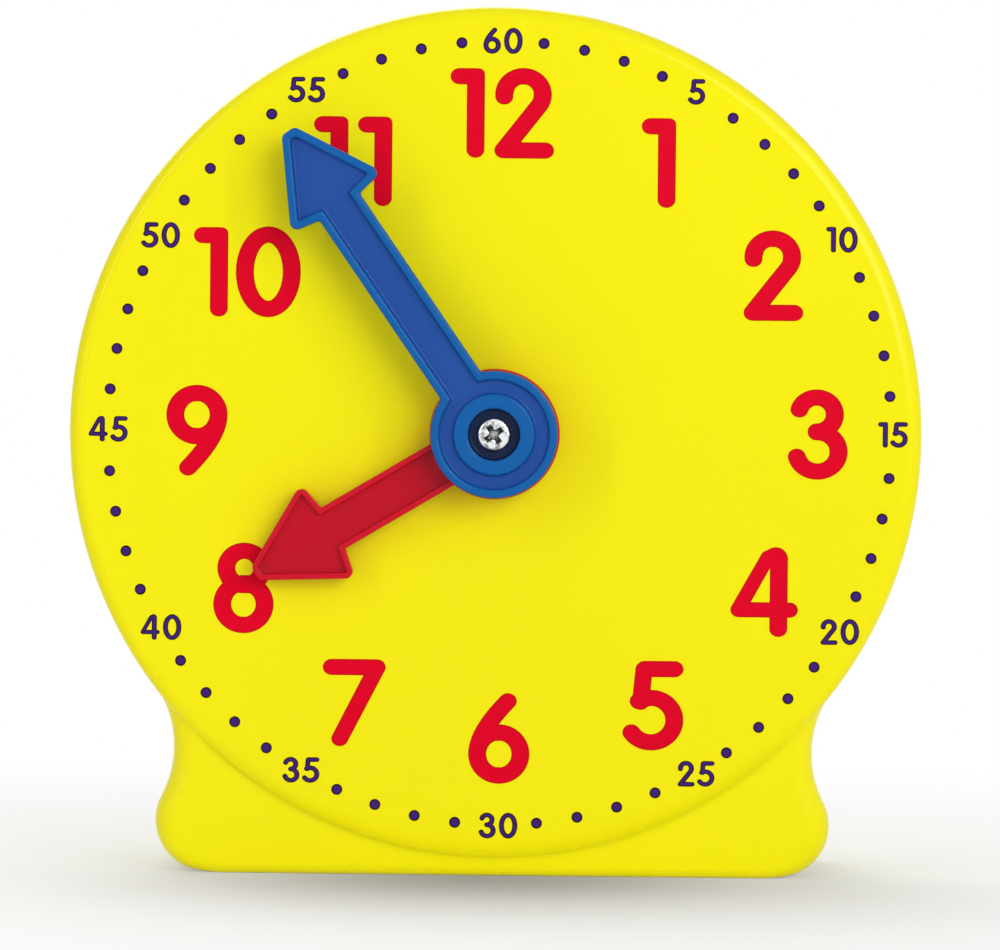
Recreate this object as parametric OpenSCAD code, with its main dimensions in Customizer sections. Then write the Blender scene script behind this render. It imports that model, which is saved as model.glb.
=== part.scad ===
// Geared teaching clock, free standing. A finger turns the minute hand, and a
// 12:1 train of spur gears in the closed case carries the hour hand along.
// Millimetres. X runs to the viewer's right, Y to the back and Z up; the origin
// is the middle of the flat base. The hands stand at about six minutes to eight.

/* [Case] */
// Diameter of the round dial
dial_d = 100; // [92:1:108]
// Height of the hands' axis above the base
axis_h = 52; // [51:0.5:54]
// Depth of the round case from the dial face to its back; the gear rims fill it
case_depth = 16; // [14:0.5:18]
// Thickness of the moulded walls
wall = 2; // [1.8:0.1:2.2]
// Distance from the dial face to the joint between the two shells
split_depth = 10; // [8:0.5:10.5]
// Rounding of the round case's front and back edges
rim_fillet = 1.8; // [1.2:0.1:2.2]
// Chamfer that leaves the fine groove where the shells meet
groove = 0.25; // [0.15:0.05:0.35]

/* [Foot] */
// Greatest width of the foot
foot_w = 79.4; // [76:0.2:82]
// Depth of the foot from front to back
foot_depth = 30; // [28:1:36]
// How far the dial face stands proud of the foot's front
dial_raise = 1; // [0.6:0.1:1.4]
// Radius of the foot's lower corners, seen from the front
foot_corner_r = 6.1; // [5.1:0.1:6.8]
// Radius of the waist between foot and dial
waist_r = 12.4; // [10.4:0.1:14]
// Rounding of the foot's upright front edges
foot_fillet = 2.5; // [1.6:0.1:3.2]
// Radius of the foot's rear corners, seen from above
foot_rear_r = 6; // [4:0.5:8]
// Rounding of the edge round the base
base_fillet = 0.8; // [0.6:0.1:1.2]

/* [Minute hand] */
// Reach of the minute hand from the axis to its tip
minute_len = 42.55; // [40:0.05:45]
// Length of the minute hand's arrowhead
minute_head_len = 10.65; // [9.5:0.05:12]
// Width of the minute hand's stem
minute_stem_w = 5.65; // [5:0.05:6.5]
// Thickness of the minute hand
minute_t = 3; // [2.8:0.1:3.4]
// Radius of the minute hand's hub
minute_hub_r = 7.4; // [7:0.05:7.7]
// Width of the raised lip round the minute hand
minute_lip_w = 1; // [0.8:0.05:1.2]

/* [Hour hand] */
// Reach of the hour hand from the axis to its tip
hour_len = 32.35; // [30:0.05:36]
// Length of the hour hand's arrowhead
hour_head_len = 10.55; // [9.5:0.05:12]
// Width of the hour hand's stem
hour_stem_w = 5.55; // [5:0.05:6.5]
// Thickness of the hour hand
hour_t = 2.4; // [2.2:0.1:2.8]
// Radius of the hour hand's hub
hour_hub_r = 7.6; // [7.4:0.1:8.2]
// Width of the raised lip round the hour hand
hour_lip_w = 0.7; // [0.6:0.05:1]

/* [Arrowheads] */
// Width of the arrowheads between their sharp barb corners
head_w = 12.75; // [11:0.05:14]
// How far the barbs' corners lie ahead of the notch at the stem
barb_sweep_len = 0.7; // [0.4:0.05:1.2]
// Width of the blunt tips before their corners are rounded
tip_w = 1.8; // [1.4:0.1:2.4]
// Rounding of the arrowheads' corners
head_r = 0.85; // [0.6:0.05:1.1]
// Depth of the floor below the lip
hand_recess_depth = 0.7; // [0.5:0.1:0.9]

/* [Gear train] */
// Tooth module of all four gears
gear_module = 0.8; // [0.74:0.01:0.82]
// Pressure angle in degrees
pressure_angle = 25; // [24:0.5:26]
// Free play between meshing teeth, measured on the pitch circle
backlash = 0.14; // [0.12:0.02:0.2]
// Thickness of the thin webs inside the rims
web_t = 1.6; // [1.2:0.1:2]
// Width of the rims between the web and the tooth roots
rim_w = 1.8; // [1.4:0.1:2.4]

/* [Arbors] */
// Diameter of the minute arbor
arbor_d = 4.6; // [4.2:0.1:5]
// Width across the flats that carry the minute hand
arbor_flats = 3.6; // [3.3:0.1:3.9]
// Wall of the hour wheel's pipe
pipe_wall = 1.2; // [1:0.05:1.4]
// Diameter of the post that the idler turns on
post_d = 4; // [3.4:0.1:4.2]
// Radial play of everything that turns on or in something
running_play = 0.06; // [0.04:0.01:0.09]
// Free space between parts that pass each other face to face
face_gap = 0.4; // [0.3:0.05:0.5]
// Length of the bearing boss behind the dial
bearing_len = 3; // [2.5:0.1:3.2]
// Wall round the bearings and sockets
boss_wall = 2.3; // [2:0.1:2.8]
// Height of the arbor's bearing boss inside the rear cover
rear_bearing_h = 1; // [0.8:0.1:1.6]
// Height of the collar round the axis on the dial face
collar_h = 0.7; // [0.5:0.1:0.9]

/* [Friction washer] */
// Thickness of the spring steel
washer_t = 0.25; // [0.2:0.05:0.3]
// Free height of the dished washer
washer_h = 0.7; // [0.6:0.05:0.8]
// Outer diameter of the washer
washer_d = 9.2; // [8.6:0.2:10]

/* [Screws] */
// Thread diameter of the screw that holds the hands
hand_screw_d = 2.2; // [2:0.1:2.4]
// Head diameter of the hand screw
hand_screw_head_d = 3.95; // [3.6:0.05:4.2]
// Head height of the hand screw
hand_screw_head_h = 1.15; // [1:0.05:1.3]
// Length of the hand screw below its head
hand_screw_len = 7; // [6:0.5:8]
// Diameter of the well that the hand screw's head sits in
well_d = 6; // [5.4:0.1:6.4]
// Diameter of the raised boss round that well
well_boss_d = 9.5; // [9:0.1:10]
// Thread diameter of the screws that hold the rear cover
cover_screw_d = 2.6; // [2.4:0.1:2.8]
// Head diameter of the cover screws
cover_screw_head_d = 5; // [4.6:0.1:5.2]
// Head height of the cover screws
cover_screw_head_h = 1.7; // [1.5:0.1:1.9]
// Length of the cover screws below the head
cover_screw_len = 7.5; // [6.5:0.5:8]
// Distance of the cover screws from the hands' axis
cover_screw_ring = 40; // [38:0.5:41]
// How far the cover screws' seats lie below the back face
seat_depth = 3.2; // [2.8:0.1:3.6]

/* [Hidden] */
$fn = 96;

yellow = [0.96, 0.92, 0.02];
red = [0.8, 0.06, 0.14];
blue = [0.09, 0.35, 0.67];
white_plastic = [0.93, 0.93, 0.9];
steel = [0.75, 0.76, 0.78];
eps = 0.01;                                  // joined shapes overlap by this much
over = 1;                                    // cuts run this far past a face

// time on the dial at rest, in degrees clockwise from twelve
minute_angle = 325.3;
hour_angle = 239.2;

// smaller sizes of the mouldings
seat_t = 1.8;                                // of the cover's plastic under a screw head
tongue_h = 1.5;                              // of the rib that centres the two shells
tongue_gap = 0.4;                            // between its ends and the opening to the foot
post_shoulder = 1.2;                         // by which the idler post's foot is wider
collar_w = 1.8;                              // of the ring round the axis on the dial face
post_wall = 2.1;                             // round the cover screws' pilot holes
seat_wall = 1.5;                             // round the cover screws' counterbores
rib_t = 1.2;                                 // of the ribs that brace the screw posts
pipe_boss_w = 1.5;                           // of the raised ring round the hour hand's hole
web_boss_w = 1.4;                            // of the ring that a wheel's web leaves round its hub
grip_play = 0.03;                            // radial play of parts that are pushed together
washer_play = 0.15;                          // radial play of the washer on the arbor
tip_play = 0.3;                              // below the tip of a screw in its pilot hole

// places along Y
foot_front_y = -foot_depth/2;
foot_back_y = foot_depth/2;
dial_y = foot_front_y - dial_raise;
back_y = dial_y + case_depth;
split_y = dial_y + split_depth;

// gear train: 15 to 45 teeth, then 12 to 48 teeth, on one centre distance
arbor_teeth = 15;
idler_wheel_teeth = 45;
idler_pinion_teeth = 12;
hour_teeth = 48;
centre_distance = gear_module*(arbor_teeth + idler_wheel_teeth)/2;
idler_dir = -90;                             // the idler lies straight above the hands' axis
flank_steps = 5;

// depths behind the dial face, along the hands' axis; two layers of gears of equal
// width fill what the bearings and the washer leave
bearing_end = wall + bearing_len;
hour_front = bearing_end + face_gap;
cover_inside = case_depth - wall;
rear_bearing_front = cover_inside - rear_bearing_h;
washer_back = rear_bearing_front - face_gap/4;
washer_front = washer_back - washer_h;
pinion_back = washer_front - face_gap/4;
idler_back = pinion_back - face_gap/2;
layer_gap = 1.25*face_gap;
gear_t = (idler_back - hour_front - layer_gap)/2;
hour_back = hour_front + gear_t;
idler_front = hour_back + layer_gap;
pinion_front = hour_back + face_gap/2;
bore_bottom = cover_inside + wall/2;         // of the rear bearing, half way into the wall
journal_end = bore_bottom - face_gap/2;
socket_front = idler_back + face_gap;
screw_seat_depth = case_depth - seat_depth;  // where the cover screws' heads sit
post_seat = screw_seat_depth - seat_t;       // where the screw posts meet the cover
pilot_end = screw_seat_depth - cover_screw_len - tip_play;
tongue_seat = split_depth + tongue_h + 0.1;

// heights in front of the dial face
hour_hand_back = collar_h + face_gap/2;
hour_hand_front = hour_hand_back + hour_t;
pipe_end = hour_hand_front - face_gap/4;
minute_hand_back = hour_hand_front + face_gap;
minute_hand_front = minute_hand_back + minute_t;
screw_seat = minute_hand_front - hand_screw_head_h - 0.2;    // the head lies just inside its well
tenon_end = screw_seat - 0.6;                // so that the screw clamps the hand, not the arbor

// radii round the axes
arbor_r = arbor_d/2;
pipe_bore_r = arbor_r + running_play;
pipe_r = pipe_bore_r + pipe_wall;
pipe_flats = 2*(pipe_r - pipe_wall/3);       // across the flats that carry the hour hand
dial_bore_r = pipe_r + running_play;
post_r = post_d/2;

// cover screws sit on a ring, forty degrees above and below the level of the axis
cover_screw_dirs = [40, 140, 220, 320];
head_play = 0.4;                             // radial room round a screw head
shank_play = 0.25;                           // radial room round a shank that passes through
rib_len = dial_d/2 - wall/2 - cover_screw_ring - cover_screw_d/2 - grip_play - post_wall/2;
counterbore_r = cover_screw_head_d/2 + head_play;

// outline of the foot, seen from the front: corner arc, then waist arc up to the dial
corner_steps = 13;
waist_steps = 12;
fillet_steps = 7;
corner_x = foot_w/2 - foot_corner_r;
waist_bite = 0.05;                           // the waist arc cuts this far into the dial's circle
corner_c = [corner_x, foot_corner_r];
dial_c = [0, axis_h];
waist_c = meet(corner_c, foot_corner_r + waist_r, dial_c, dial_d/2 + waist_r - waist_bite);
corner_end = atan2(waist_c[1] - corner_c[1], waist_c[0] - corner_c[0]);
waist_end = atan2(dial_c[1] - waist_c[1], dial_c[0] - waist_c[0]);
foot_top = waist_c[1] + waist_r*sin(waist_end);
heel_z = 3;                                  // the foot's back is upright up to here
heel_wall = 1.3;                             // level run through the sloping wall, in wall thicknesses

// Right-hand point at distance ra from a and rb from b
function meet(a, ra, b, rb) =
    let (d = norm(b - a))
    let (u = (b - a)/d)
    let (along = (ra*ra - rb*rb + d*d)/(2*d))
    let (across = sqrt(ra*ra - along*along))
    a + along*u + across*[u[1], -u[0]];

// [half width, height] up the side of the foot, drawn in by the inset
function foot_side(inset) = concat(
    [for (k = [0:corner_steps])
        let (a = -90 + k*(corner_end + 90)/corner_steps)
        corner_c + (foot_corner_r - inset)*[cos(a), sin(a)]],
    [for (k = [1:waist_steps])
        let (a = 180 + corner_end - k*(180 + corner_end - waist_end)/waist_steps)
        waist_c + (waist_r + inset)*[cos(a), sin(a)]]);

// How far the edge round the base draws the foot in at height z
function base_round(z) = z >= base_fillet ? 0 : base_fillet - sqrt(z*(2*base_fillet - z));

// Y of the foot's back at height z: an S-curve from the heel up into the case's back
function heel_y(z) =
    let (t = min(1, max(0, (z - heel_z)/(foot_top - heel_z))))
    back_y - 1 + (foot_back_y - back_y + 1)*(1 + cos(180*t))/2;

// Points of a rounded corner about c, from angle a0 to a1
function corner(c, r, a0, a1) =
    [for (k = [0:fillet_steps]) let (a = a0 + k*(a1 - a0)/fillet_steps) c + r*[cos(a), sin(a)]];

// One level of the foot in front of the joint, as [x, y, z] points; a cavity runs past the joint
function front_level(w, z, inset) =
    let (cavity = inset > 0)
    let (f = max(0.4, foot_fillet - inset))
    let (y0 = foot_front_y + (cavity ? inset : base_round(z)))
    let (y1 = split_y + (cavity ? 1 : 0))
    [for (p = concat([[w - groove, y1], [groove - w, y1], [-w, y1 - groove]],
                     corner([f - w, y0 + f], f, 180, 270),
                     corner([w - f, y0 + f], f, 270, 360),
                     [[w, y1 - groove]])) [p[0], p[1], z]];

// One level of the foot behind the joint
function rear_level(w, z, inset) =
    let (cavity = inset > 0)
    let (y0 = split_y - (cavity ? 1 : 0))
    let (y1 = heel_y(z) - (cavity ? heel_wall*inset : base_round(z)))
    let (f = min(foot_rear_r - inset, 0.5*(y1 - y0)))
    [for (p = concat([[w, y0 + groove]],
                     corner([w - f, y1 - f], f, 0, 90),
                     corner([f - w, y1 - f], f, 90, 180),
                     [[-w, y0 + groove], [groove - w, y0], [w - groove, y0]])) [p[0], p[1], z]];

// Closed skin through equal rings of points, from the lowest ring to the highest
module skin(rings) {
    n = len(rings[0]);
    last = len(rings) - 1;
    polyhedron(
        points = [for (ring = rings) each ring],
        faces = concat(
            [[for (j = [0:n - 1]) j]],
            [for (i = [0:last - 1], j = [0:n - 1]) [i*n + j, (i + 1)*n + j, (i + 1)*n + (j + 1)%n]],
            [for (i = [0:last - 1], j = [0:n - 1]) [i*n + j, (i + 1)*n + (j + 1)%n, i*n + (j + 1)%n]],
            [[for (j = [n - 1:-1:0]) last*n + j]]),
        convexity = 6);
}

module front_foot(inset = 0) {
    skin([for (p = foot_side(inset)) front_level(p[0], p[1], inset)]);
}

module rear_foot(inset = 0) {
    skin([for (p = foot_side(inset)) rear_level(p[0], p[1], inset)]);
}

// Local Z is the depth behind the dial face, a turn about it runs clockwise as
// seen from the front, and local -Y points up
module on_axis() {
    translate([0, dial_y, axis_h])
        rotate([-90, 0, 0])
            children();
}

module disc(r, z0, z1) {
    translate([0, 0, z0])
        cylinder(r = r, h = z1 - z0);
}

module ring(r_out, r_in, z0, z1) {
    difference() {
        disc(r_out, z0, z1);
        disc(r_in, z0 - eps, z1 + eps);
    }
}

// Round body from z0 to z1 whose edge at z0 is rounded and whose edge at z1 is chamfered
module rounded_drum(r, z0, z1, fillet, chamfer) {
    rotate_extrude()
        union() {
            polygon([[0, z0], [r - fillet, z0], [r, z0 + fillet], [r, z1 - chamfer],
                     [r - chamfer, z1], [0, z1]]);
            intersection() {
                translate([r - fillet, z0 + fillet])
                    circle(r = fillet);
                translate([r - fillet, z0])
                    square([fillet, fillet]);
            }
        }
}

module at_cover_screws() {
    for (a = cover_screw_dirs)
        rotate([0, 0, a])
            translate([cover_screw_ring, 0, 0])
                children();
}

module at_idler() {
    rotate([0, 0, idler_dir])
        translate([centre_distance, 0, 0])
            rotate([0, 0, -idler_dir])
                children();
}

// Cross recess for a screwdriver, cut down from z = 0: four wings that run in to a
// pit in the middle as they go deeper
module cross_recess(head_d, depth) {
    wing_w = head_d*0.16;
    reach = head_d*0.33;
    translate([0, 0, -depth]) {
        intersection() {
            union() {
                translate([-reach, -wing_w/2, 0])
                    cube([2*reach, wing_w, depth + eps]);
                translate([-wing_w/2, -reach, 0])
                    cube([wing_w, 2*reach, depth + eps]);
            }
            cylinder(r1 = reach*0.55, r2 = reach, h = depth + eps);
        }
        cylinder(r1 = wing_w*0.45, r2 = wing_w*0.95, h = depth + eps);
    }
}

// Pan-headed screw along -Z whose head seats on z = 0; its thread is drawn plain
module pan_screw(d, length, head_d, head_h) {
    edge = head_h*0.45;
    lead = 0.3;
    difference() {
        rotate_extrude()
            union() {
                polygon([[0, -length], [d/2 - lead, -length], [d/2, -length + 2*lead], [d/2, 0],
                         [head_d/2, 0], [head_d/2, head_h - edge], [head_d/2 - edge, head_h],
                         [0, head_h]]);
                intersection() {
                    translate([head_d/2 - edge, head_h - edge])
                        circle(r = edge);
                    translate([head_d/2 - edge, head_h - edge])
                        square([edge, edge]);
                }
            }
        translate([0, 0, head_h])
            cross_recess(head_d, head_h*0.55);
    }
}

/* Gears */

function involute(a) = tan(a)*180/PI - a;

// Half the tooth's angle at radius r, in degrees
function tooth_half(teeth, r) =
    let (pitch_r = gear_module*teeth/2)
    let (base_r = pitch_r*cos(pressure_angle))
    let (at_pitch = 90/teeth - backlash/4/pitch_r*180/PI)
    at_pitch + involute(pressure_angle) - involute(acos(min(1, base_r/r)));

function tip_r(teeth) = gear_module*(teeth/2 + 1);
function root_r(teeth) = gear_module*(teeth/2 - 1.25);

// Involute outline with a tooth's middle at the angle phase
module gear_outline(teeth, phase) {
    base_r = gear_module*teeth/2*cos(pressure_angle);
    start_r = max(base_r, root_r(teeth));
    flank = [for (k = [0:flank_steps]) start_r + (tip_r(teeth) - start_r)*k/flank_steps];
    tooth = concat(
        [[root_r(teeth), -tooth_half(teeth, start_r)]],
        [for (r = flank) [r, -tooth_half(teeth, r)]],
        [for (k = [flank_steps:-1:0]) [flank[k], tooth_half(teeth, flank[k])]],
        [[root_r(teeth), tooth_half(teeth, start_r)]]);
    polygon([for (t = [0:teeth - 1], p = tooth)
        let (a = phase + t*360/teeth + p[1]) p[0]*[cos(a), sin(a)]]);
}

module gear(teeth, phase, z0, z1) {
    translate([0, 0, z0])
        linear_extrude(height = z1 - z0)
            gear_outline(teeth, phase);
}

// Ring-shaped recess in both faces of a wheel, down to its web
module web_recess(teeth, hub_r, z0, z1) {
    depth = (z1 - z0 - web_t)/2;
    out_r = root_r(teeth) - rim_w;
    ring(out_r, hub_r, z0 - eps, z0 + depth);
    ring(out_r, hub_r, z1 - depth, z1 + eps);
}

// Phase of the wheel that meshes with a gear of the given phase, dir being the
// direction from the first one's axis to the second one's
function meshed(phase, teeth, next_teeth, dir) =
    dir + 180 + 180/next_teeth - (phase - dir)*teeth/next_teeth;

/* Hands */

// Arrow along +X, its corners rounded by r
module arrow(reach, head, stem_w, r) {
    notch = reach - head;
    barbs = notch + barb_sweep_len;
    offset(r = r, $fn = 40)
        offset(delta = -r)
            polygon([[0, -stem_w/2], [notch, -stem_w/2], [barbs, -head_w/2], [reach, -tip_w/2],
                     [reach, tip_w/2], [barbs, head_w/2], [notch, stem_w/2], [0, stem_w/2]]);
}

// Turns +X to the place that the hands' angle gives, clockwise from twelve
module hand_dir(angle) {
    rotate([0, 0, angle - 90])
        children();
}

// Round hole with two flats
module double_d(r, flats, z0, z1) {
    intersection() {
        disc(r, z0, z1);
        translate([-r - over, -flats/2, z0 - over])
            cube([2*(r + over), flats, z1 - z0 + 2*over]);
    }
}

module hand_blank(reach, head, stem_w, hub_r, back, front) {
    translate([0, 0, -front])
        linear_extrude(height = front - back)
            arrow(reach, head, stem_w, head_r);
    disc(hub_r, -front, -back);
}

// Floor of the hand inside its lip, as a cut from the front
module hand_floor(reach, head, stem_w, hub_r, lip, front) {
    translate([0, 0, -front - over])
        linear_extrude(height = over + hand_recess_depth)
            union() {
                offset(delta = -lip)
                    arrow(reach, head, stem_w, head_r);
                circle(r = hub_r - lip);
            }
}

/* Sub-parts */

module front_shell() color(yellow) {
    difference() {
        union() {
            difference() {
                union() {
                    on_axis() rounded_drum(dial_d/2, 0, split_depth, rim_fillet, groove);
                    front_foot();
                }
                on_axis() disc(dial_d/2 - wall, wall, split_depth + over);
                front_foot(wall);
            }
            tongue();
            post_ribs();
            on_axis() {
                // collar before and bearing boss behind the dial
                disc(dial_bore_r + collar_w, -collar_h, eps);
                disc(dial_bore_r + boss_wall, wall - eps, bearing_end);
                // shouldered post of the idler
                at_idler() disc(post_r + post_shoulder, wall - eps, hour_front - face_gap);
                at_idler() disc(post_r, wall - eps, cover_inside);
                at_cover_screws() disc(cover_screw_d/2 + post_wall, wall - eps, post_seat);
            }
        }
        on_axis() disc(dial_bore_r, -collar_h - over, bearing_end + over);
        on_axis() at_cover_screws() disc(cover_screw_d/2 + grip_play, pilot_end, post_seat + over);
    }
}

// Ribs that brace the cover screws' posts against the wall of the case
module post_ribs() {
    on_axis() at_cover_screws()
        translate([cover_screw_d/2 + grip_play + post_wall/2, -rib_t/2, wall - eps])
            cube([rib_len, rib_t, post_seat - wall - post_wall]);
}

// Rib inside the joint that centres the rear cover; it stops where the foot opens into the case
module tongue() {
    difference() {
        on_axis() ring(dial_d/2 - wall/2, dial_d/2 - wall, split_depth - over, split_depth + tongue_h);
        translate([-foot_w/2, split_y - 2*over, 0])
            cube([foot_w, tongue_h + 3*over, foot_top + tongue_gap]);
    }
}

module rear_cover() color(yellow) {
    difference() {
        union() {
            difference() {
                union() {
                    on_axis() translate([0, 0, case_depth]) mirror([0, 0, 1])
                        rounded_drum(dial_d/2, 0, case_depth - split_depth, rim_fillet, groove);
                    rear_foot();
                }
                on_axis() disc(dial_d/2 - wall, split_depth - over, cover_inside);
                on_axis() disc(dial_d/2 - wall/2 + grip_play, split_depth - over, tongue_seat);
                rear_foot(wall);
            }
            on_axis() {
                disc(arbor_r + running_play + boss_wall, rear_bearing_front, cover_inside + eps);
                at_idler() disc(post_r + grip_play + boss_wall, socket_front, cover_inside + eps);
                at_cover_screws() disc(counterbore_r + seat_wall, post_seat, cover_inside + eps);
            }
        }
        on_axis() {
            disc(arbor_r + running_play, rear_bearing_front - over, bore_bottom);
            at_idler() disc(post_r + grip_play, socket_front - over, cover_inside + face_gap/2);
            at_cover_screws() disc(cover_screw_d/2 + shank_play, post_seat - over, case_depth);
            at_cover_screws() disc(counterbore_r, screw_seat_depth, case_depth + over);
        }
    }
}

module cover_screws() color(steel) {
    on_axis() at_cover_screws() translate([0, 0, screw_seat_depth])
        pan_screw(cover_screw_d, cover_screw_len, cover_screw_head_d, cover_screw_head_h);
}

module minute_hand() color(blue) {
    on_axis() hand_dir(minute_angle) difference() {
        hand_blank(minute_len, minute_head_len, minute_stem_w, minute_hub_r,
                   minute_hand_back, minute_hand_front);
        difference() {
            hand_floor(minute_len, minute_head_len, minute_stem_w, minute_hub_r,
                       minute_lip_w, minute_hand_front);
            disc(well_boss_d/2, -minute_hand_front - 2*over, -minute_hand_back);
        }
        disc(well_d/2, -minute_hand_front - over, -screw_seat);
        disc(hand_screw_d/2 + shank_play, -minute_hand_front - over, -minute_hand_back + over);
        double_d(arbor_r + grip_play, arbor_flats + 2*grip_play, -tenon_end, -minute_hand_back + over);
    }
}

module hour_hand() color(red) {
    on_axis() hand_dir(hour_angle) difference() {
        hand_blank(hour_len, hour_head_len, hour_stem_w, hour_hub_r, hour_hand_back, hour_hand_front);
        difference() {
            hand_floor(hour_len, hour_head_len, hour_stem_w, hour_hub_r, hour_lip_w, hour_hand_front);
            disc(pipe_r + pipe_boss_w, -hour_hand_front - 2*over, -hour_hand_back);
        }
        double_d(pipe_r + grip_play, pipe_flats + 2*grip_play,
                 -hour_hand_front - over, -hour_hand_back + over);
    }
}

module hand_screw() color(steel) {
    on_axis() hand_dir(minute_angle) translate([0, 0, -screw_seat]) rotate([180, 0, 0])
        pan_screw(hand_screw_d, hand_screw_len, hand_screw_head_d, hand_screw_head_h);
}

// Shaft of the minute hand, with the pinion that drives the train
module minute_arbor() color(white_plastic) {
    on_axis() difference() {
        union() {
            gear(arbor_teeth, 0, pinion_front, pinion_back);
            disc(arbor_r, -minute_hand_back, journal_end);
            hand_dir(minute_angle)
                double_d(arbor_r, arbor_flats, face_gap/4 - tenon_end, -minute_hand_back + eps);
        }
        disc(hand_screw_d/2 + grip_play, -tenon_end - over, hand_screw_len - screw_seat + tip_play);
    }
}

// Compound wheel: 45 teeth driven by the arbor, 12 teeth driving the hour wheel
module idler_wheel() color(white_plastic) {
    wheel_phase = meshed(0, arbor_teeth, idler_wheel_teeth, idler_dir);
    pinion_phase = meshed(0, hour_teeth, idler_pinion_teeth, idler_dir);
    on_axis() at_idler() difference() {
        union() {
            gear(idler_wheel_teeth, wheel_phase, idler_front, idler_back);
            gear(idler_pinion_teeth, pinion_phase, hour_front, idler_front + eps);
        }
        web_recess(idler_wheel_teeth, tip_r(idler_pinion_teeth) + web_boss_w/2, idler_front, idler_back);
        disc(post_r + running_play, hour_front - over, idler_back + over);
    }
}

// Wheel of 48 teeth on the pipe that carries the hour hand
module hour_wheel() color(white_plastic) {
    on_axis() difference() {
        union() {
            gear(hour_teeth, 0, hour_front, hour_back);
            disc(pipe_r, -hour_hand_back, hour_front + eps);
            hand_dir(hour_angle) double_d(pipe_r, pipe_flats, -pipe_end, -hour_hand_back + eps);
        }
        web_recess(hour_teeth, pipe_r + web_boss_w, hour_front, hour_back);
        disc(pipe_bore_r, -pipe_end - over, hour_back + over);
    }
}

// Dished spring washer that presses on the pinion, so that the hands stay where they are put
module friction_washer() color(steel) {
    in_r = arbor_r + washer_play;
    on_axis() rotate_extrude()
        polygon([[in_r, washer_front], [washer_d/2, washer_back - washer_t],
                 [washer_d/2, washer_back], [in_r, washer_front + washer_t]]);
}

front_shell();
rear_cover();
cover_screws();
minute_hand();
hour_hand();
hand_screw();
minute_arbor();
hour_wheel();
idler_wheel();
friction_washer();
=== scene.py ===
import math
import bpy
import bmesh
from mathutils import Matrix, Vector
from mathutils.geometry import delaunay_2d_cdt


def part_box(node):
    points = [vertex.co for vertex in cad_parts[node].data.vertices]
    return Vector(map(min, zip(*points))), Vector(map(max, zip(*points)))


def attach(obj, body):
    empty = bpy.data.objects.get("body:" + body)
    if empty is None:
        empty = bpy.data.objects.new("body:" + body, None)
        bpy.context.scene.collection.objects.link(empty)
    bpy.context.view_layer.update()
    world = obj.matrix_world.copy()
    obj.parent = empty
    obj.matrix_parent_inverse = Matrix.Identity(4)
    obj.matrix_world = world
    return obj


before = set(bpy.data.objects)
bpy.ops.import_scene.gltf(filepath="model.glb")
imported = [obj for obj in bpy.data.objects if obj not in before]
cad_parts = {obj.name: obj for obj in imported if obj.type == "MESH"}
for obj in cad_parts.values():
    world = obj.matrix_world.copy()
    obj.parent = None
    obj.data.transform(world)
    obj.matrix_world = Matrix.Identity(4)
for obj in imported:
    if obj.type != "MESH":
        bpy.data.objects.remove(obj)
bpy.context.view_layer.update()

mm = 0.001
axisZ = 52 * mm             # height of the hands' axis
dialFront = -16 * mm        # y of the dial's face
print("frame loaded:", len(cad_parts), "nodes")


def srgb(red, green, blue):
    # a colour read off a screen, 0 to 255, as the linear colour that shaders take
    def channel(value):
        value /= 255
        return value / 12.92 if value <= 0.04045 else ((value + 0.055) / 1.055) ** 2.4
    return (channel(red), channel(green), channel(blue), 1)


class Wire:
    # one socket of a node tree, to be used in expressions
    def __init__(self, tree, socket=None):
        self.tree = tree
        self.socket = socket

    def node(self, kind, settings=None, sockets=None, out=0):
        made = self.tree.nodes.new(kind)
        for name, value in (settings or {}).items():
            setattr(made, name, value)
        for name, value in (sockets or {}).items():
            feed(self.tree, made.inputs[name], value)
        return Wire(self.tree, made.outputs[out])

    def math(self, operation, first, second=0.0, clamp=False):
        return self.node("ShaderNodeMath", {"operation": operation, "use_clamp": clamp},
                         {0: first, 1: second})

    def __add__(self, other):
        return self.math("ADD", self, other)

    def __radd__(self, other):
        return self.math("ADD", other, self)

    def __sub__(self, other):
        return self.math("SUBTRACT", self, other)

    def __rsub__(self, other):
        return self.math("SUBTRACT", other, self)

    def __mul__(self, other):
        return self.math("MULTIPLY", self, other)

    def __rmul__(self, other):
        return self.math("MULTIPLY", other, self)

    def __truediv__(self, other):
        return self.math("DIVIDE", self, other)

    def __rtruediv__(self, other):
        return self.math("DIVIDE", other, self)

    def __pow__(self, other):
        return self.math("POWER", self, other)

    def __rpow__(self, other):
        return self.math("POWER", other, self)

    def clamped(self):
        return self.math("ADD", self, 0.0, clamp=True)

    def span(self, low, high):
        # 0 at low, 1 at high, and held there beyond them
        return self.node("ShaderNodeMapRange", {"clamp": True},
                         {"Value": self, "From Min": low, "From Max": high})

    def mixed(self, first, second):
        # the first colour where this mask is 0, the second where it is 1
        return self.node("ShaderNodeMix", {"data_type": "RGBA"},
                         {0: self, 6: first, 7: second}, out=2)


def feed(tree, socket, value):
    if isinstance(value, Wire):
        tree.links.new(value.socket, socket)
    else:
        socket.default_value = value


def noise(place, scale, detail):
    return place.node("ShaderNodeTexNoise", {},
                      {"Vector": place, "Scale": scale, "Detail": detail})


def openness(start, reach):
    # 1 on open surfaces, less in corners that are narrower than the reach
    return start.node("ShaderNodeAmbientOcclusion", {"samples": 4, "only_local": True},
                      {"Distance": reach}, out="AO")


def newMaterial(name):
    # a fresh material, the wire that starts its expressions, and the place on the object
    material = bpy.data.materials.new(name)
    material.use_nodes = True
    start = Wire(material.node_tree)
    return material, start, start.node("ShaderNodeTexCoord", out="Object")


def finishMaterial(material, values):
    tree = material.node_tree
    for name, value in values.items():
        feed(tree, tree.nodes["Principled BSDF"].inputs[name], value)
    return material


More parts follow.
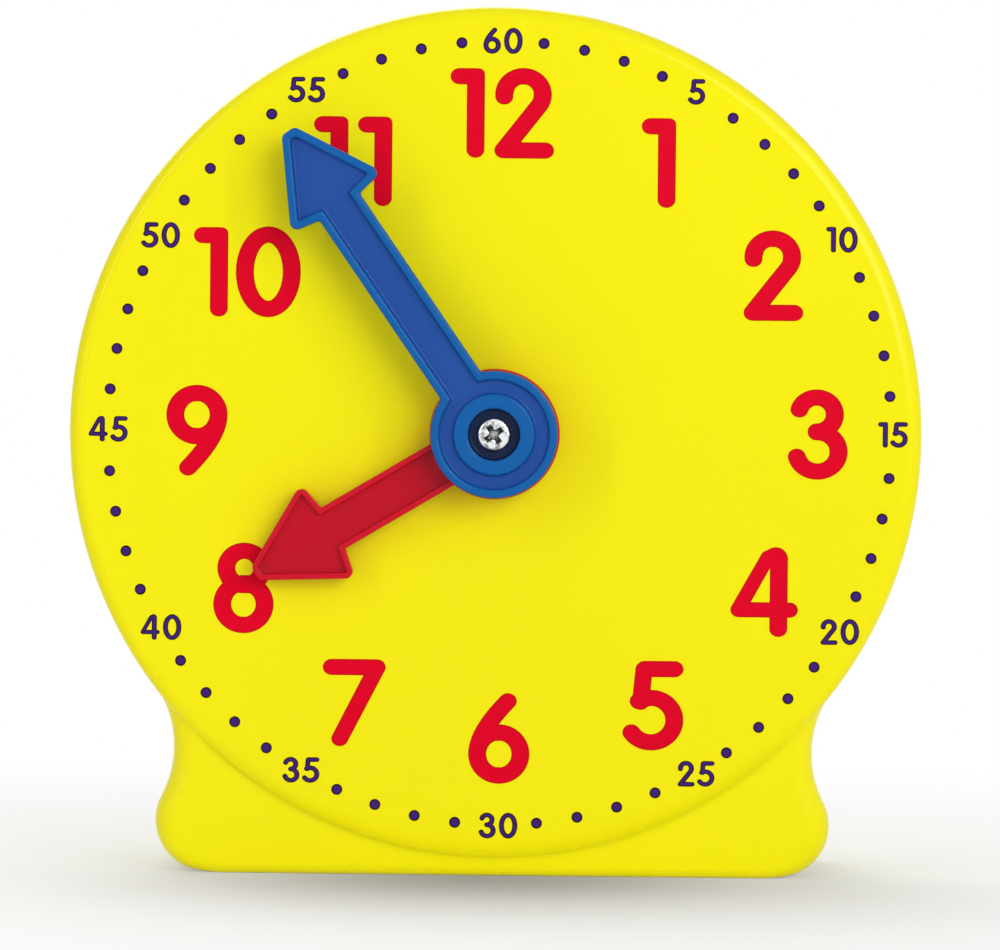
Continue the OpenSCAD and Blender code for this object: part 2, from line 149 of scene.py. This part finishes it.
mould = {           # what all the mouldings share
    "cloudDetail": 3.0, "cloudBand": (0.3, 0.7),                # flow marks
    "peelDetail": 2.0, "peelShare": 0.8, "peelDepth": 0.05 * mm,
    "speckFiner": 3, "speckDetail": 4.0, "speckShare": 0.2,     # specks beside the orange peel
    "wornEdge": (0.02, 0.16), "wornSpeck": (0.4, 0.6), "wornShare": 0.25, "wornRough": 0.12,
    "cornerShadeAndDustBand": (0.62, 0.2), "dustRough": 0.1,
    "lipBlend": 0.1 * mm,
    "wellRim": (3.15 * mm, 3.05 * mm), "wellBlend": 0.8 * mm,   # of the well round the screw
    "ior": 1.5,
}


def mouldedPlastic(name, look):
    # glossy injection moulding: flow marks, faint orange peel, dulled edges, painted shade and dust
    # in its corners
    material, start, place = newMaterial(name)
    cloud = noise(place, look["cloudScale"], mould["cloudDetail"])
    peel = noise(place, look["peelScale"], mould["peelDetail"])
    speck = noise(place, look["peelScale"] * mould["speckFiner"], mould["speckDetail"])
    rounded = start.node("ShaderNodeBevel", {"samples": 4}, {"Radius": look["edgeRadius"]})
    facing = start.node("ShaderNodeNewGeometry", out="Normal")
    normal = rounded
    if "softBelow" in look:
        # only where the dial runs into the foot does the mould's edge blend away
        low = start.node("ShaderNodeSeparateXYZ", {}, {0: place}, out="Z").span(*look["softBelow"])
        normal = start.node("ShaderNodeMix", {"data_type": "VECTOR"},
                            {0: low, 4: facing, 5: rounded}, out=1)
    edge = 1 - start.node("ShaderNodeVectorMath", {"operation": "DOT_PRODUCT"},
                          {0: rounded, 1: facing}, out="Value")
    worn = edge.span(*mould["wornEdge"]) * speck.span(*mould["wornSpeck"])
    # painted shade: corners and recesses are darkened by how open they are; the same mask makes them
    # rougher
    cornerShadeAndDust = openness(start, look["cornerReach"]).span(*mould["cornerShadeAndDustBand"])
    flow = cloud.span(*mould["cloudBand"])
    colour = flow.mixed(srgb(*look["deepColour"]), srgb(*look["colour"]))
    if "lipColour" in look:
        depth = start.node("ShaderNodeSeparateXYZ", {}, {0: place}, out="Y")
        lip = depth.span(look["floorY"] - mould["lipBlend"], look["lipY"] + mould["lipBlend"])
        colour = lip.mixed(colour, srgb(*look["lipColour"]))
        # painted shade: the sunken well round the screw darkened to its shadow colour
        if "wellShadeColour" in look:
            flat = start.node("ShaderNodeVectorMath", {"operation": "MULTIPLY"},
                              {0: place, 1: (1, 0, 1)})
            radius = start.node("ShaderNodeVectorMath", {"operation": "DISTANCE"},
                                {0: flat, 1: (0, 0, axisZ)}, out="Value")
            sunk = depth.span(look["lipY"], look["lipY"] + mould["wellBlend"])
            wellShade = radius.span(*mould["wellRim"]) * sunk
            colour = wellShade.mixed(colour, srgb(*look["wellShadeColour"]))
    # painted shade in the corners and recesses
    colour = (cornerShadeAndDust * look["cornerShade"]).mixed(colour, srgb(*look["cornerShadeColour"]))
    colour = (worn * mould["wornShare"]).mixed(colour, srgb(*look["wornColour"]))
    rough = (look["rough"] + (cloud - 0.5) * look["roughSpread"]
             + worn * mould["wornRough"] + cornerShadeAndDust * mould["dustRough"])
    bump = start.node("ShaderNodeBump", {}, {
        "Strength": look["peelStrength"], "Distance": mould["peelDepth"],
        "Height": peel * mould["peelShare"] + speck * mould["speckShare"], "Normal": normal})
    return finishMaterial(material, {
        "Base Color": colour, "Roughness": rough.clamped(), "Normal": bump,
        "IOR": mould["ior"], "Specular IOR Level": look["gloss"]})


# in each look the darker corner colour and its share are painted shade
yellowLook = {
    "colour": (248, 238, 1), "deepColour": (246, 235, 1),
    "cornerShadeColour": (196, 170, 10), "wornColour": (250, 243, 40), "cornerShade": 0.1, "cornerReach": 3 * mm,
    "cloudScale": 30.0, "peelScale": 900.0, "peelStrength": 0.2,
    "edgeRadius": 2 * mm, "softBelow": (22 * mm, 14 * mm),
    "rough": 0.13, "roughSpread": 0.04, "gloss": 0.14,
}
redLook = {
    "colour": (196, 4, 34), "deepColour": (190, 3, 33), "lipColour": (206, 10, 37),
    "cornerShadeColour": (130, 4, 30), "wornColour": (214, 60, 80), "cornerShade": 0.35, "cornerReach": 1.2 * mm,
    "lipY": -19.3 * mm, "floorY": -18.6 * mm,
    "cloudScale": 60.0, "peelScale": 1100.0, "peelStrength": 0.2, "edgeRadius": 0.15 * mm,
    "rough": 0.13, "roughSpread": 0.05, "gloss": 0.14,
}
blueLook = {
    "colour": (32, 80, 161), "deepColour": (30, 76, 156), "lipColour": (8, 93, 167),
    # painted shade in the well round the screw
    "wellShadeColour": (16, 36, 76),
    "cornerShadeColour": (14, 24, 62), "wornColour": (90, 150, 205), "cornerShade": 0.8, "cornerReach": 1.5 * mm,
    "lipY": -22.7 * mm, "floorY": -22.0 * mm,
    "cloudScale": 60.0, "peelScale": 1100.0, "peelStrength": 0.2, "edgeRadius": 0.15 * mm,
    "rough": 0.13, "roughSpread": 0.05, "gloss": 0.14,
}
whiteLook = {
    "colour": (236, 236, 228), "deepColour": (226, 226, 216),
    "cornerShadeColour": (170, 166, 150), "wornColour": (244, 244, 240),
    "cornerShade": 0.4, "cornerReach": 1 * mm,
    "cloudScale": 90.0, "peelScale": 1500.0, "peelStrength": 0.3, "edgeRadius": 0.12 * mm,
    "rough": 0.42, "roughSpread": 0.1, "gloss": 0.5,
}
yellowPlastic = mouldedPlastic("yellowCase", yellowLook)
redPlastic = mouldedPlastic("redHand", redLook)
bluePlastic = mouldedPlastic("blueHand", blueLook)
whitePlastic = mouldedPlastic("whiteGears", whiteLook)

plating = {         # what both metals share
    "mottleScale": 1500.0, "mottleDetail": 4.0, "mottleBand": (0.38, 0.5),
    "grainDetail": 2.0, "grainStrength": 0.15, "grainDepth": 0.04 * mm, "grainRough": 0.1,
    "recessShadeAndGrimeBand": (0.97, 0.68), "grimeRough": 0.2,
}


def metal(name, look):
    # plated or rolled steel with fine turning or rolling lines, painted shade and grime in its
    # recesses
    material, start, place = newMaterial(name)
    mottle = noise(place, plating["mottleScale"], plating["mottleDetail"])
    lines = start.node("ShaderNodeMapping", {}, {"Vector": place, "Scale": look["grain"]})
    grain = noise(lines, 1.0, plating["grainDetail"])
    # painted shade: recesses such as the screw's cross are darkened by how open they are; the same
    # mask makes them rougher
    recessShadeAndGrime = openness(start, look["recessReach"]).span(*plating["recessShadeAndGrimeBand"])
    colour = mottle.span(*plating["mottleBand"]).mixed(srgb(*look["deepColour"]),
                                                      srgb(*look["colour"]))
    # painted shade in the recesses
    colour = recessShadeAndGrime.mixed(colour, srgb(*look["recessShadeColour"]))
    rough = look["rough"] + (grain - 0.5) * plating["grainRough"] + recessShadeAndGrime * plating["grimeRough"]
    bump = start.node("ShaderNodeBump", {}, {
        "Strength": plating["grainStrength"], "Distance": plating["grainDepth"], "Height": grain})
    return finishMaterial(material, {
        "Base Color": colour, "Metallic": 1.0, "Normal": bump, "Roughness": rough.clamped()})


screwLook = {
    "colour": (236, 238, 238), "deepColour": (150, 154, 150), "recessShadeColour": (20, 24, 20),
    "recessReach": 0.8 * mm, "rough": 0.16, "grain": (900, 900, 900),
}
springLook = {
    "colour": (190, 192, 196), "deepColour": (160, 162, 168), "recessShadeColour": (90, 88, 84),
    "recessReach": 0.5 * mm, "rough": 0.34, "grain": (200, 3000, 3000),
}
platedSteel = metal("platedSteel", screwLook)
springSteel = metal("springSteel", springLook)

inkLook = {         # what all the inks share
    "patchScale": 700.0, "patchDetail": 3.0, "thinBand": (0.35, 0.7),
    "bumpStrength": 0.1, "bumpDepth": 0.03 * mm,
    "rough": 0.34, "roughSpread": 0.12, "gloss": 0.05,
}


def printInk(name, full, thin):
    # pad-printed ink, its second colour where it lies thin
    material, start, place = newMaterial(name)
    patch = noise(place, inkLook["patchScale"], inkLook["patchDetail"])
    bump = start.node("ShaderNodeBump", {}, {
        "Strength": inkLook["bumpStrength"], "Distance": inkLook["bumpDepth"], "Height": patch})
    return finishMaterial(material, {
        "Base Color": patch.span(*inkLook["thinBand"]).mixed(srgb(*full), srgb(*thin)),
        "Roughness": (inkLook["rough"] + patch * inkLook["roughSpread"]).clamped(),
        "Normal": bump, "Specular IOR Level": inkLook["gloss"]})


redInk = printInk("redInk", (226, 0, 40), (220, 0, 36))
redInkEdge = printInk("redInkEdge", (196, 12, 12), (188, 14, 10))
purpleInk = printInk("purpleInk", (68, 34, 128), (62, 32, 116))
purpleInkEdge = printInk("purpleInkEdge", (32, 14, 34), (28, 12, 24))
print("materials made")


nodeFinish = {
    "front_shell": yellowPlastic, "rear_cover": yellowPlastic, "cover_screws": platedSteel,
    "minute_hand": bluePlastic, "hour_hand": redPlastic, "hand_screw": platedSteel,
    "minute_arbor": whitePlastic, "hour_wheel": whitePlastic, "idler_wheel": whitePlastic,
    "friction_washer": springSteel,
}
softEdges = {       # the nodes with rounded edges, and how wide each rounding is
    "width": {"minute_hand": 0.32 * mm, "hour_hand": 0.14 * mm, "hand_screw": 0.08 * mm},
    "segments": 3, "sharpFrom": 35,                     # degrees between two faces
    "joinPoints": 0.001 * mm, "joinFacets": 0.6,        # done first: degrees between two facets
}


def roundEdges(node, width):
    weld = node.modifiers.new("joinFaces", "WELD")
    weld.merge_threshold = softEdges["joinPoints"]
    flat = node.modifiers.new("joinFacets", "DECIMATE")
    flat.decimate_type = "DISSOLVE"
    flat.angle_limit = math.radians(softEdges["joinFacets"])
    bevel = node.modifiers.new("softEdges", "BEVEL")
    bevel.width = width
    bevel.segments = softEdges["segments"]
    bevel.limit_method = "ANGLE"
    bevel.angle_limit = math.radians(softEdges["sharpFrom"])
    bevel.harden_normals = True
    bevel.use_clamp_overlap = False


for name, finish in nodeFinish.items():
    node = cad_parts[name]
    node.data.materials.clear()
    node.data.materials.append(finish)
    if name in softEdges["width"]:
        roundEdges(node, softEdges["width"][name])
print("finishes on the CAD nodes")


# Each digit is a few strokes of a pen, in millimetres from its lower left corner.


def arc(cx, cy, rx, ry, start, end, turn=7):
    # a point every few degrees, as turn says
    steps = max(4, round(abs(end - start) / turn))
    angles = [math.radians(start + (end - start) * k / steps) for k in range(steps + 1)]
    return [(cx + rx * math.cos(a), cy + ry * math.sin(a)) for a in angles]


def bend(first, middle, last, steps=10):
    def at(t, a, b, c):
        return (1 - t) ** 2 * a + 2 * t * (1 - t) * b + t * t * c
    return [tuple(at(k / steps, a, b, c) for a, b, c in zip(first, middle, last))
            for k in range(steps + 1)]


pen = {
    "height": 10.5, "half": (1.05, 0.95),   # of a digit, and half the pen's width and height on it
    "sides": 30, "reach": 1.03,             # how far from the path still counts as inked, in pens
    "cornerCosine": 0.87,                   # a path that turns more than this has a corner
    "joinWithin": 1e-4,
}
digits = {      # width, then (pen size, path) for each stroke
    "0": (7.7, [(1, arc(3.85, 5.33, 2.75, 4.36, 0, 360))]),
    "1": (4.0, [(1, [(1.01, 9.55), (2.94, 9.55), (2.94, 0.99)]),
                (0.7, [(2.8, 9.82), (3.24, 9.82)])]),
    "2": (6.94, [(1, arc(3.35, 7.46, 2.26, 2.16, 186, -38) + [(1.06, 0.95), (5.93, 0.95)])]),
    "3": (7.06, [(1, arc(3.35, 7.65, 2.12, 1.99, 163, -90)), (1, [(3.36, 5.58), (3.65, 5.58)]),
                 (1, arc(3.47, 3.29, 2.49, 2.31, 90, -165))]),
    "4": (7.88, [(1, [(5.58, 9.3), (5.58, 1.01)]), (0.82, [(4.3, 9.42), (0.87, 3.22)]),
                 (0.94, [(0.94, 3.22), (6.87, 3.22)]), (1.26, [(5.22, 9.38)])]),
    "5": (6.94, [(1, [(2.4, 9.6), (5.88, 9.6)]), (0.96, [(2.3, 9.55), (1.95, 5.7)]),
                 (1, arc(3.16, 3.6, 2.75, 2.61, 122, -146))]),
    "6": (7.29, [(1, arc(3.65, 3.53, 2.54, 2.54, 0, 360)),
                 (1, bend((1.11, 3.53), (1.12, 6.1), (4.65, 9.74)))]),
    "7": (7.29, [(1, [(1.01, 9.5), (6.3, 9.5)]), (0.94, [(6.3, 9.5), (2.02, 1.09)])]),
    "8": (7.18, [(1, arc(3.65, 7.65, 2.11, 2.02, 0, 360)),
                 (1, arc(3.58, 3.41, 2.49, 2.46, 0, 360))]),
    "9": (7.29, [(1, arc(3.65, 7.18, 2.54, 2.54, 0, 360)),
                 (1, bend((6.19, 7.18), (6.18, 4.6), (2.65, 0.97)))]),
}


def circle(radius, sides):
    return [(radius * math.cos(math.tau * k / sides), radius * math.sin(math.tau * k / sides))
            for k in range(sides)]


def inPenSizes(path, half):
    # the path's points, measured in pens, so that the pen's outline is a circle of radius 1
    return [Vector((x / half[0], y / half[1])) for x, y in path]


def strokeFaces(path, half):
    # flat-ended quads along the path, and the pen's own outline at every end and sharp corner
    points = inPenSizes(path, half)
    closed = len(points) > 2 and (points[0] - points[-1]).length < pen["joinWithin"]
    along = [(b - a).normalized() for a, b in zip(points, points[1:])]
    faces = []

    def dot(centre):
        faces.append([centre + Vector(p) for p in circle(1, pen["sides"])])

    def side(direction):
        return Vector((-direction.y, direction.x))

    for k, direction in enumerate(along):
        ends = []
        for neighbour in (k - 1, k + 1):
            if closed:
                neighbour %= len(along)
            if (not 0 <= neighbour < len(along)
                    or along[neighbour].dot(direction) < pen["cornerCosine"]):
                ends.append(side(direction))
                if not closed:
                    dot(points[k] if neighbour < k else points[k + 1])
            else:
                mitre = (side(direction) + side(along[neighbour])).normalized()
                ends.append(mitre / mitre.dot(side(direction)))
        a, b = points[k], points[k + 1]
        faces.append([a + ends[0], a - ends[0], b - ends[1], b + ends[1]])
    if len(points) == 1:
        dot(points[0])
    return [[(p.x * half[0], p.y * half[1]) for p in face] for face in faces]


def inStroke(spot, path, half):
    # whether the pen covers the spot on its way along the path
    spot = inPenSizes([spot], half)[0]
    points = inPenSizes(path, half)
    for a, b in zip(points, points[1:] or points):
        along = b - a
        t = 0
        if along.length > 1e-6:
            t = max(0, min(1, (spot - a).dot(along) / along.length_squared))
        if (spot - a - t * along).length < pen["reach"]:
            return True
    return False


def joinedFaces(faces, strokes):
    # the union of overlapping flat faces, as triangles that share their points
    points, loops = [], []
    for face in faces:
        area = sum(a[0] * b[1] - b[0] * a[1] for a, b in zip(face, face[1:] + face[:1]))
        face = face if area > 0 else face[::-1]
        loops.append(list(range(len(points), len(points) + len(face))))
        points += [Vector(p) for p in face]
    verts, _, tris, _, _, _ = delaunay_2d_cdt(points, [], loops, 1, pen["joinWithin"], True)
    kept = []
    for tri in tris:
        middle = sum((verts[k] for k in tri), Vector((0, 0))) / len(tri)
        if any(inStroke(middle, path, half) for path, half in strokes):
            kept.append(tri)
    return [(v.x, v.y) for v in verts], kept


digitFaces = {}


def digitShape(digit, scale, inset):
    # the digit at a scale, its pen made thinner all round by the inset
    key = (digit, scale, inset)
    if key not in digitFaces:
        strokes = [([(x * scale, y * scale) for x, y in path],
                    [h * size * scale - inset for h in pen["half"]])
                   for size, path in digits[digit][1]]
        faces = [face for path, half in strokes for face in strokeFaces(path, half)]
        digitFaces[key] = joinedFaces(faces, strokes)
    return digitFaces[key]


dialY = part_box("front_shell")[0][1] + 0.7 * mm       # the collar round the axis stands this far out
dialPrint = {       # in mm
    "centre": (0.5, 0.0),           # of the ring of dots, from the hands' axis
    "minuteHeight": 3.0, "minuteGap": 0.34,
    "dotRing": 45.9, "dotSize": 1.3, "dotSides": 32,
    "dotShares": (0.5, 0.37),       # radius of a dot's dark edge and of its colour, in dot sizes
    "edgeInset": 0.13, "smallInset": 0.13,
}
inkHeight = 0.02 * mm
inkLayers = (       # lowest and highest point before the dial, and slot of the material
    (-0.01 * mm, inkHeight, 1),                 # the dark edge, sunk a little into the dial
    (inkHeight * 0.9, inkHeight * 1.5, 0),      # the colour on it
)
hourPlaces = {      # middle of each numeral and its width, in mm from the hands' axis
    "12": (0.5, 37.45, 12.1), "1": (18.85, 31.8, 4.0), "2": (32.4, 18.75, 6.94),
    "3": (37.8, 0.2, 7.06), "4": (31.75, -18.3, 7.88), "5": (18.9, -31.75, 6.94),
    "6": (0.8, -35.85, 7.29), "7": (-16.25, -31.8, 7.29), "8": (-29.3, -18.45, 7.18),
    "9": (-34.95, -0.05, 7.29), "10": (-29.15, 18.6, 12.56), "11": (-16.9, 31.7, 9.15),
}
minutePlaces = {    # middle of each number, in mm from the hands' axis
    "60": (0.5, 45.9), "5": (23.2, 40.15), "10": (40.35, 23.05), "15": (46.55, 0.3),
    "20": (40.6, -22.85), "25": (23.95, -39.65), "30": (0.8, -46.0), "35": (-22.4, -39.7),
    "40": (-38.95, -23.1), "45": (-45.35, 0.1), "50": (-39.35, 22.85), "55": (-22.4, 40.0),
}


def layFlat(mesh, shape, origin, layer):
    # a flat shape as a thin closed layer of ink, its origin in mm from the hands' axis
    points, faces = shape
    low, high, slot = layer
    used = sorted({k for face in faces for k in face})

    def level(height):
        return {k: mesh.verts.new(((origin[0] + points[k][0]) * mm, dialY - height,
                                   axisZ + (origin[1] + points[k][1]) * mm)) for k in used}
    under, over = level(low), level(high)
    edges = {(a, b) for face in faces for a, b in zip(face, face[1:] + face[:1])}
    rim = sorted((a, b) for a, b in edges if (b, a) not in edges)
    loops = [[over[k] for k in face] for face in faces]
    loops += [[under[k] for k in reversed(face)] for face in faces]
    loops += [[under[a], under[b], over[b], over[a]] for a, b in rim]
    for loop in loops:
        mesh.faces.new(loop).material_index = slot


def layNumber(mesh, text, middle, width, scale, inset):
    # digits side by side, the first at the left end of the width and the last at its right end
    lefts = [0, width - digits[text[-1]][0] * scale] if len(text) == 2 else [0]
    for digit, left in zip(text, lefts):
        corner = (middle[0] - width / 2 + left, middle[1] - pen["height"] * scale / 2)
        for thinner, layer in zip((0.0, inset), inkLayers):
            layFlat(mesh, digitShape(digit, scale, thinner), corner, layer)


def newPiece(name, mesh, materials, body):
    mesh.normal_update()
    data = bpy.data.meshes.new(name)
    mesh.to_mesh(data)
    mesh.free()
    for material in materials:
        data.materials.append(material)
    piece = bpy.data.objects.new(name, data)
    bpy.context.scene.collection.objects.link(piece)
    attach(piece, body)


mesh = bmesh.new()
for text, (x, z, width) in hourPlaces.items():
    layNumber(mesh, text, (x, z), width, 1.0, dialPrint["edgeInset"])
newPiece("hour_numerals", mesh, [redInk, redInkEdge], "case")

mesh = bmesh.new()
minuteScale = dialPrint["minuteHeight"] / pen["height"]
for text, middle in minutePlaces.items():
    width = sum(digits[d][0] * minuteScale for d in text) + dialPrint["minuteGap"] * (len(text) - 1)
    layNumber(mesh, text, middle, width, minuteScale, dialPrint["smallInset"])
newPiece("minute_numbers", mesh, [purpleInk, purpleInkEdge], "case")

mesh = bmesh.new()
for minute in range(60):
    if minute % 5:
        angle = math.radians(6 * minute)
        x = dialPrint["centre"][0] + dialPrint["dotRing"] * math.sin(angle)
        z = dialPrint["centre"][1] + dialPrint["dotRing"] * math.cos(angle)
        for share, layer in zip(dialPrint["dotShares"], inkLayers):
            points = circle(dialPrint["dotSize"] * share, dialPrint["dotSides"])
            layFlat(mesh, (points, [list(range(len(points)))]), (x, z), layer)
newPiece("minute_dots", mesh, [purpleInk, purpleInkEdge], "case")
print("dial printed")


stageLook = {
    "size": 3.0, "fadeStart": 0.06, "fadeEnd": 0.17,        # metres from the clock
    "white": 0.9, "paper": 1.02, "paperShare": 0.5,         # the sheet's own light and its share
    # the painted shadow under the clock: its depth, middle and reach
    "paintedShadow": 0.6, "contactY": dialFront, "contactReach": (36 * mm, 33 * mm),
}
white, black = (1, 1, 1, 1), (0, 0, 0, 1)


def seenRays(start):
    # 1 for the rays that show the background: the camera's, and those of gloss and of glass
    rays = [start.node("ShaderNodeLightPath", out="Is %s Ray" % kind)
            for kind in ("Camera", "Glossy", "Transmission")]
    return (rays[0] + rays[1] + rays[2]).clamped()


def glow(start, kind, colour, strength):
    return start.node(kind, {}, {"Color": colour, "Strength": strength})


def mixedShaders(mask, first, second):
    return mask.node("ShaderNodeMixShader", {}, {0: mask, 1: first, 2: second})


def replaceShader(tree, old, output, shader):
    tree.nodes.remove(tree.nodes[old])
    feed(tree, tree.nodes[output].inputs["Surface"], shader)


def floorMaterial():
    # white sheet that keeps the shadow near the clock, darkened there further by a painted shadow,
    # and fades into the white background
    material, start, place = newMaterial("whiteSheet")
    distance = start.node("ShaderNodeVectorMath", {"operation": "LENGTH"}, {0: place}, out="Value")
    far = distance.span(stageLook["fadeStart"], stageLook["fadeEnd"])
    x, y = (start.node("ShaderNodeSeparateXYZ", {}, {0: place}, out=axis) for axis in "XY")
    reach = stageLook["contactReach"]
    away = (x / reach[0]) ** 2.0 + ((y - stageLook["contactY"]) / reach[1]) ** 2.0
    seen = seenRays(start)
    # a painted shadow, darker under the clock, for the rays that show the sheet; the light it throws
    # back stays whole
    shade = 1 - seen * stageLook["paintedShadow"] * math.e ** (0 - away)
    sheet = start.node("ShaderNodeBsdfDiffuse", {},
                       {"Color": shade.mixed(black, (stageLook["white"],) * 3 + (1,))})
    paper = glow(start, "ShaderNodeEmission", shade.mixed(black, white), stageLook["paper"])
    lit = mixedShaders(seen * stageLook["paperShare"], sheet, paper)
    backdrop = glow(start, "ShaderNodeEmission", white, 1.0)
    shown = mixedShaders(far * seen, lit, backdrop)
    replaceShader(material.node_tree, "Principled BSDF", "Material Output", shown)
    return material


mesh = bmesh.new()
bmesh.ops.create_grid(mesh, x_segments=1, y_segments=1, size=stageLook["size"])
floorMesh = bpy.data.meshes.new("floor")
mesh.to_mesh(floorMesh)
mesh.free()
floorMesh.materials.append(floorMaterial())
floor = bpy.data.objects.new("floor", floorMesh)
bpy.context.scene.collection.objects.link(floor)

scene = bpy.context.scene
scene.view_settings.view_transform = "Standard"

lightLook = {
    "world": 0.44, "aim": (0, 0, 0.05),
    "lamps": [      # name, place, width, height, watts
        ("key", (0.42, -1.0, 0.36), 0.5, 0.5, 3.7),
        ("rightStrip", (0.6, -0.6, 0.36), 0.03, 0.75, 1.15),
        ("leftStrip", (-0.6, -0.6, 0.36), 0.03, 0.7, 1.1),
        ("back", (-0.3, 0.85, 0.85), 0.9, 0.9, 7.5),
    ],
}
world = bpy.data.worlds.new("room")
scene.world = world
world.use_nodes = True
start = Wire(world.node_tree)
room = glow(start, "ShaderNodeBackground", white, lightLook["world"])
backdrop = glow(start, "ShaderNodeBackground", white, 1.0)
shown = mixedShaders(seenRays(start), room, backdrop)
replaceShader(world.node_tree, "Background", "World Output", shown)

for name, place, width, height, watts in lightLook["lamps"]:
    lamp = bpy.data.lights.new(name, "AREA")
    lamp.shape = "RECTANGLE"
    lamp.size = width
    lamp.size_y = height
    lamp.energy = watts
    holder = bpy.data.objects.new(name, lamp)
    holder.location = place
    way = Vector(lightLook["aim"]) - Vector(place)
    holder.rotation_euler = way.to_track_quat("-Z", "Y").to_euler()
    scene.collection.objects.link(holder)

photoSize = (1000, 950)
shot = {
    "azimuth": 1.0, "elevation": 1.55, "roll": 0.55,    # degrees, the roll clockwise in the picture
    "focal": 6000.0, "distance": 0.7025,                # pixels, and metres to the hub
    "hub": (0, dialFront, axisZ), "hubPixel": (495, 433.6),
}
sensorWidth = 36
azimuth, elevation = math.radians(shot["azimuth"]), math.radians(shot["elevation"])
back = Vector((math.sin(azimuth) * math.cos(elevation), -math.cos(azimuth) * math.cos(elevation),
               math.sin(elevation)))
level = (-back).to_track_quat("-Z", "Y").to_matrix()
turned = level @ Matrix.Rotation(math.radians(shot["roll"]), 3, "Z")
perPixel = shot["distance"] / shot["focal"]
right = turned.col[0] * (shot["hubPixel"][0] - photoSize[0] / 2) * perPixel
up = turned.col[1] * (photoSize[1] / 2 - shot["hubPixel"][1]) * perPixel
cameraPlace = Vector(shot["hub"]) + back * shot["distance"] - right - up
lens = bpy.data.cameras.new("camera")
lens.sensor_width = sensorWidth
lens.lens = shot["focal"] * sensorWidth / photoSize[0]
lens.clip_start = 0.01
camera = bpy.data.objects.new("camera", lens)
camera.matrix_world = Matrix.Translation(cameraPlace) @ turned.to_4x4()
scene.collection.objects.link(camera)
scene.camera = camera
print("stage, light and camera set")
